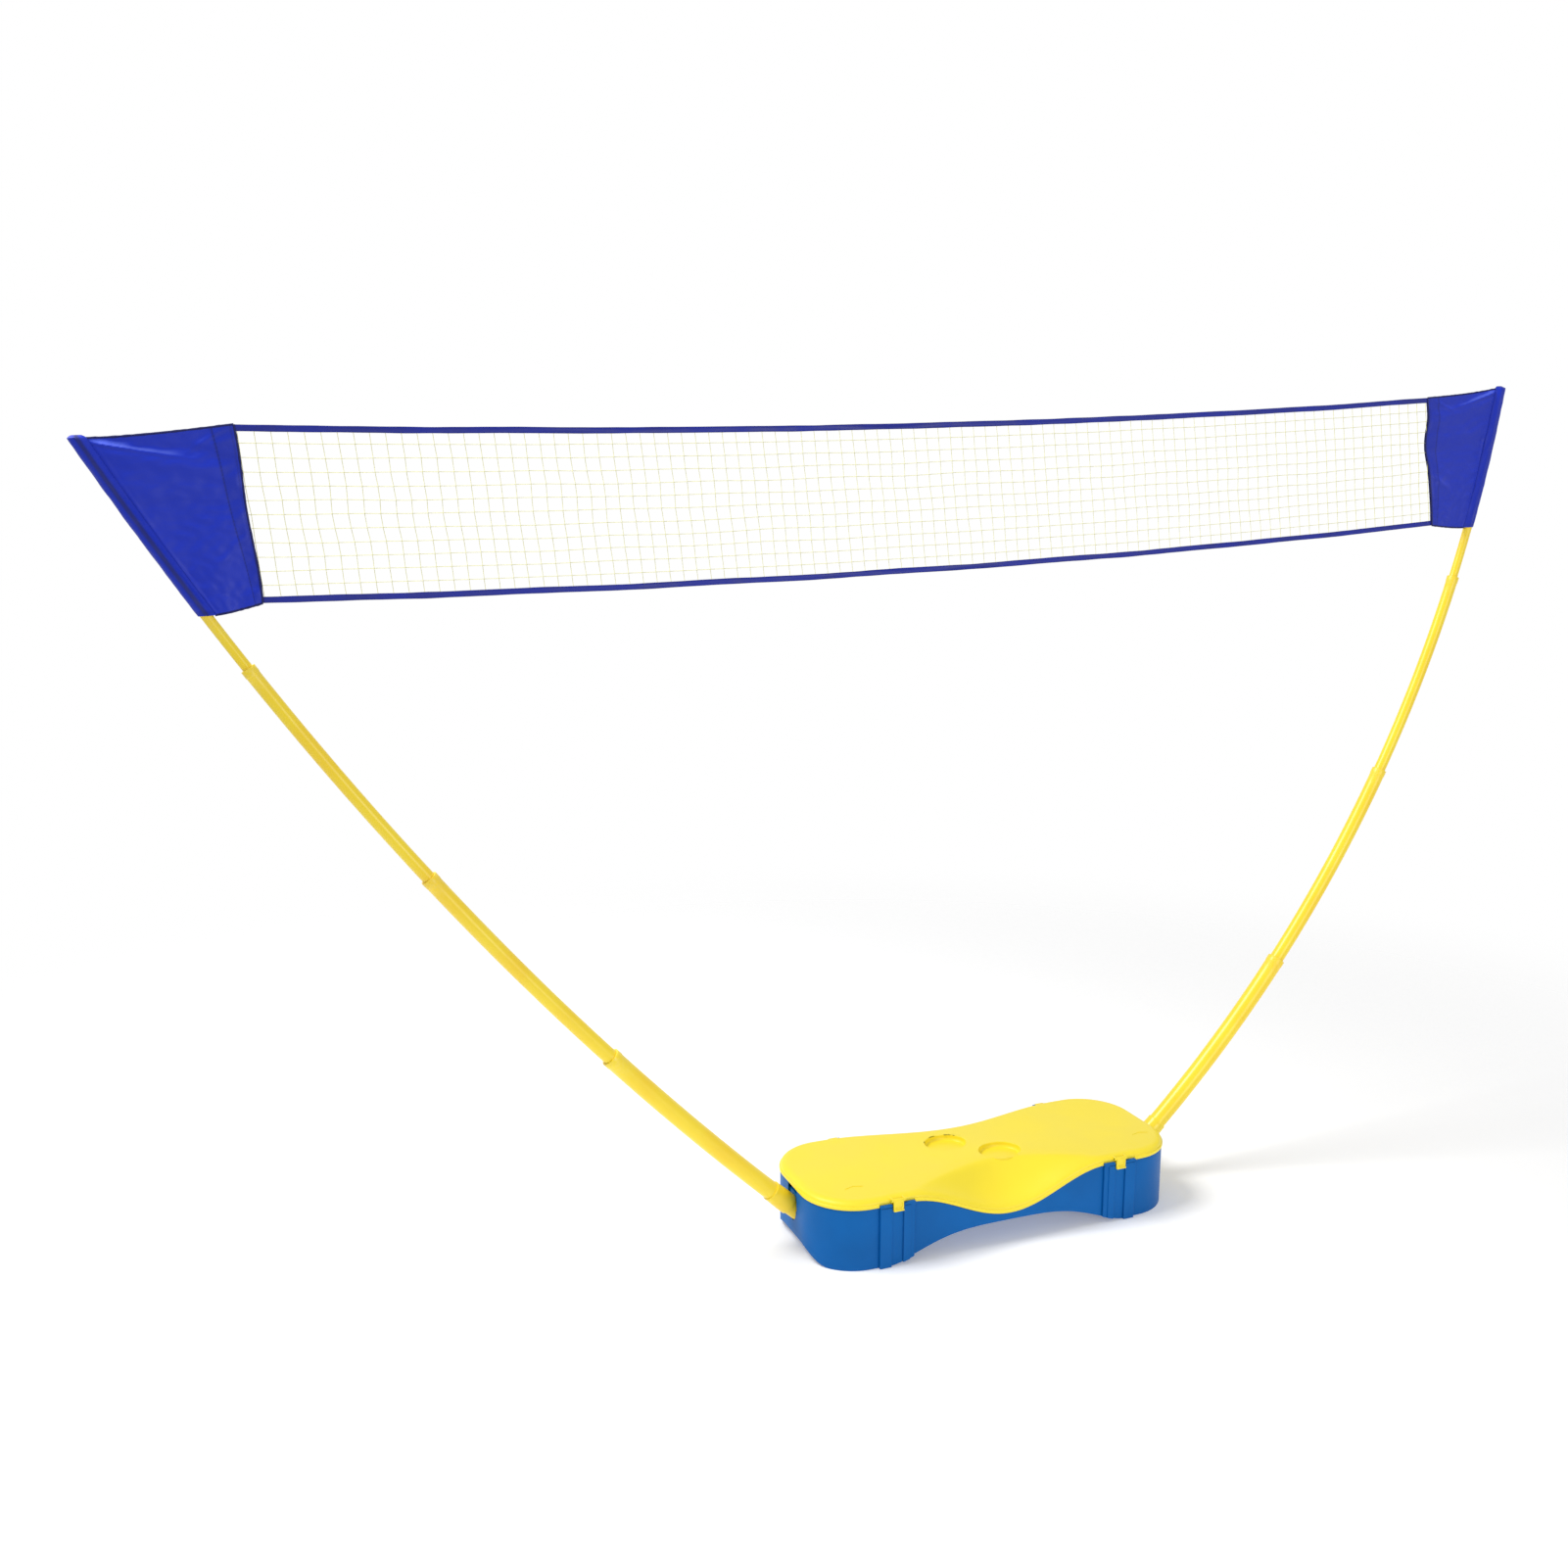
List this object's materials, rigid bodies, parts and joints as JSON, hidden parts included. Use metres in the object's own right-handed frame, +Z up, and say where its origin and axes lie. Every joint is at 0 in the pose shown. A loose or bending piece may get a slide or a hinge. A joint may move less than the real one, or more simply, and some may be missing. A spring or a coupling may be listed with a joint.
{
  "type": "portable sports net set",
  "caption": "Free-standing net for badminton and the like: a storage case as base, telescopic slanted poles and a net with cloth end panels.",
  "frame": {"origin": "on the ground, midway between the tips of the two poles", "axes": "+X along the case towards the right pole, +Y towards the back of the case, +Z up"},
  "size_m": [3.0172, 0.3403, 1.7881],
  "materials": {
    "case_blue": "satin",
    "lid_yellow": "satin",
    "pole_yellow": "satin",
    "net_cloth": "satin",
    "net_cord": "matte",
    "steel": "satin"
  },
  "bodies": {
    "base": {"tub": "case_blue", "socket_left": "case_blue", "socket_right": "case_blue", "socket_screws": "steel", "hinge_pins": "steel", "cuff_left": "pole_yellow", "cuff_right": "pole_yellow", "left_lower_tube": "pole_yellow", "right_lower_tube": "pole_yellow"},
    "lid": {"lid": "lid_yellow", "latch_pins": "steel"},
    "latch_left": {"latch_left": "lid_yellow"},
    "latch_right": {"latch_right": "lid_yellow"},
    "left_middle": {"left_middle_tube": "pole_yellow"},
    "left_upper": {"left_upper_tube": "pole_yellow"},
    "left_rod": {"left_top_rod": "pole_yellow", "left_tip_cap": "pole_yellow", "left_sleeve": "net_cloth", "left_panel": "net_cloth"},
    "right_middle": {"right_middle_tube": "pole_yellow"},
    "right_upper": {"right_upper_tube": "pole_yellow"},
    "right_rod": {"right_top_rod": "pole_yellow", "right_tip_cap": "pole_yellow", "right_sleeve": "net_cloth", "right_panel": "net_cloth"},
    "net": {"net_mesh": "net_cord", "top_tape": "net_cloth", "bottom_tape": "net_cloth"}
  },
  "joints": [
    {"name": "lid_hinge", "type": "hinge", "parent": "base", "child": "lid", "pos_m": [0.15774, 0.1656, 0.135], "axis": [-1, 0, 0], "range_deg": [0, 100]},
    {"name": "latch_left_hinge", "type": "hinge", "parent": "lid", "child": "latch_left", "pos_m": [-0.10726, -0.1626, 0.1425], "axis": [-1, 0, 0], "range_deg": [0, 120]},
    {"name": "latch_right_hinge", "type": "hinge", "parent": "lid", "child": "latch_right", "pos_m": [0.42274, -0.1626, 0.1425], "axis": [-1, 0, 0], "range_deg": [0, 120]},
    {"name": "left_middle_draw", "type": "hinge", "parent": "base", "child": "left_middle", "pos_m": [4.15801, 0, 4.89505], "axis": [0, -1, 0], "range_deg": [0, 3.77]},
    {"name": "left_upper_draw", "type": "hinge", "parent": "left_middle", "child": "left_upper", "pos_m": [4.15801, 0, 4.89505], "axis": [0, -1, 0], "range_deg": [0, 3.78]},
    {"name": "left_rod_draw", "type": "hinge", "parent": "left_upper", "child": "left_rod", "pos_m": [4.15801, 0, 4.89505], "axis": [0, -1, 0], "range_deg": [0, 0.7985]},
    {"name": "right_middle_draw", "type": "hinge", "parent": "base", "child": "right_middle", "pos_m": [-1.33278, 0, 2.20367], "axis": [0, 1, 0], "range_deg": [0, 8.62]},
    {"name": "right_upper_draw", "type": "hinge", "parent": "right_middle", "child": "right_upper", "pos_m": [-1.33278, 0, 2.20367], "axis": [0, 1, 0], "range_deg": [0, 8.62]},
    {"name": "right_rod_draw", "type": "hinge", "parent": "right_upper", "child": "right_rod", "pos_m": [-1.33278, 0, 2.20367], "axis": [0, 1, 0], "range_deg": [0, 1.81]},
    {"name": "net_drop", "type": "slide", "parent": "base", "child": "net", "axis": [0.1359, 0, -0.9907], "range_m": [0, 0.7932], "deforming": ["net_mesh", "top_tape", "bottom_tape"]}
  ],
  "couplings": [
    {"joint": "left_upper_draw", "follows": "left_middle_draw", "ratio": 1},
    {"joint": "left_rod_draw", "follows": "left_middle_draw", "ratio": 0.2093},
    {"joint": "right_middle_draw", "follows": "left_middle_draw", "ratio": 2.2867},
    {"joint": "right_upper_draw", "follows": "left_middle_draw", "ratio": 2.2867},
    {"joint": "right_rod_draw", "follows": "left_middle_draw", "ratio": 0.47861},
    {"joint": "net_drop", "follows": "left_middle_draw", "m_per_rad": 12.033}
  ]
}
